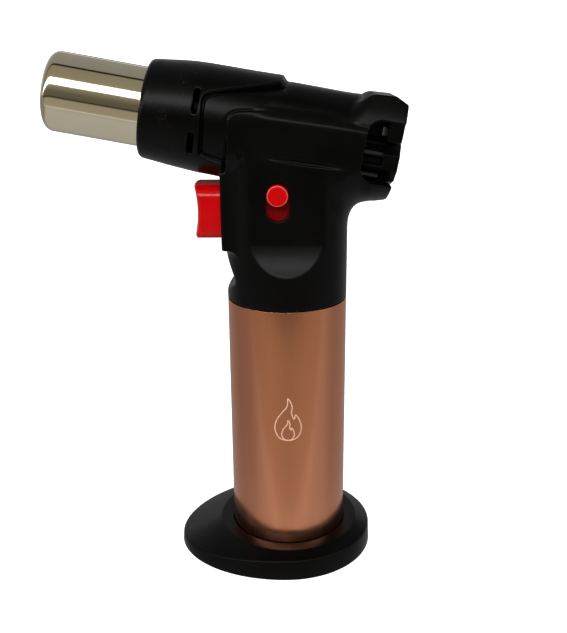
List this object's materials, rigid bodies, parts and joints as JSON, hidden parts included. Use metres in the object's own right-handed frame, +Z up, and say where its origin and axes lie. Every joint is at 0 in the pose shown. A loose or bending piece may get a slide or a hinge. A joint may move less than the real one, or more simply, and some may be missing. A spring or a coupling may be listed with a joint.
{
  "type": "butane torch",
  "caption": "Refillable pistol-shaped gas torch: round metal fuel tank on an oval foot, black two-piece head, tilted flame tube, trigger, sliding lock button and rear flow dial.",
  "frame": {"origin": "middle of the model's box in X and Y, at the underside of the foot, which is the surface the torch stands on", "axes": "+Z up along the tank, the flame tube points to -X and tilts up, +Y is the side with the screws, -Y the side with the lock button"},
  "size_m": [0.1024, 0.0522, 0.1551],
  "materials": {
    "black_plastic": "fine spark-textured moulded plastic",
    "foot_plastic": "satin black moulded plastic",
    "red_plastic": "glossy",
    "white_plastic": "smooth",
    "rose_metal": "satin anodised, rose copper colour",
    "nickel": "polished, warm nickel tone",
    "steel": "turned",
    "spring_steel": "drawn wire",
    "brass": "turned",
    "ceramic": "unglazed",
    "rubber": "smooth"
  },
  "bodies": {
    "torch_body": {"base_foot": "foot_plastic", "tank_sleeve": "rose_metal", "fuel_tank": "steel", "tank_lid": "white_plastic", "tank_seal_ring": "rubber", "fill_valve_body": "brass", "fill_valve_spring": "spring_steel", "fill_valve_gasket": "rubber", "outlet_valve_body": "brass", "outlet_valve_spring": "spring_steel", "lever_pin": "steel", "trigger_spring": "spring_steel", "piezo_body": "black_plastic", "gas_hose": "white_plastic", "spark_wire": "red_plastic", "ground_wire": "rubber", "housing_left": "black_plastic", "housing_right": "black_plastic", "housing_screw_1": "steel", "housing_screw_2": "steel", "housing_screw_3": "steel", "housing_screw_4": "steel", "flame_tube": "nickel", "tube_retaining_ring": "spring_steel", "burner_inner_tube": "steel", "burner_spacer": "steel", "flame_holder": "brass", "mixing_tube": "brass", "gas_jet": "brass", "valve_block": "brass", "needle_seal_ring": "rubber", "electrode_insulator": "ceramic", "electrode": "steel"},
    "trigger_body": {"trigger": "red_plastic"},
    "plunger_body": {"piezo_plunger": "white_plastic"},
    "lever_body": {"valve_lever": "steel"},
    "outlet_stem_body": {"outlet_valve_stem": "brass", "outlet_valve_seal": "rubber"},
    "lock_body": {"lock_slider": "red_plastic"},
    "dial_body": {"gas_dial": "black_plastic", "needle_spindle": "steel"},
    "fill_stem_body": {"fill_valve_stem": "brass"}
  },
  "joints": [
    {"name": "trigger_slide", "type": "slide", "parent": "torch_body", "child": "trigger_body", "axis": [1, 0, 0], "range_m": [0, 0.005], "stiffness_N_per_m": 700, "deforming": ["trigger_spring"]},
    {"name": "plunger_slide", "type": "slide", "parent": "torch_body", "child": "plunger_body", "axis": [1, 0, 0], "range_m": [0, 0.005]},
    {"name": "lever_swing", "type": "hinge", "parent": "torch_body", "child": "lever_body", "pos_m": [0.02896, 0, 0.0946], "axis": [0, 1, 0], "range_deg": [0, 7.6]},
    {"name": "outlet_stem_slide", "type": "slide", "parent": "torch_body", "child": "outlet_stem_body", "axis": [0, 0, 1], "range_m": [0, 0.00176], "deforming": ["outlet_valve_spring"]},
    {"name": "lock_slide", "type": "slide", "parent": "torch_body", "child": "lock_body", "axis": [0, 0, -1], "range_m": [0, 0.0042]},
    {"name": "dial_turn", "type": "hinge", "parent": "torch_body", "child": "dial_body", "pos_m": [0.04354, 0, 0.12472], "axis": [0.9833, 0, -0.1822], "range_deg": [0, 270]},
    {"name": "fill_stem_slide", "type": "slide", "parent": "torch_body", "child": "fill_stem_body", "axis": [0, 0, 1], "range_m": [0, 0.0015], "stiffness_N_per_m": 1200, "deforming": ["fill_valve_spring"]}
  ],
  "couplings": [
    {"joint": "plunger_slide", "follows": "trigger_slide", "ratio": 1},
    {"joint": "lever_swing", "follows": "trigger_slide", "rad_per_m": 26.2},
    {"joint": "outlet_stem_slide", "follows": "trigger_slide", "ratio": 0.35}
  ]
}
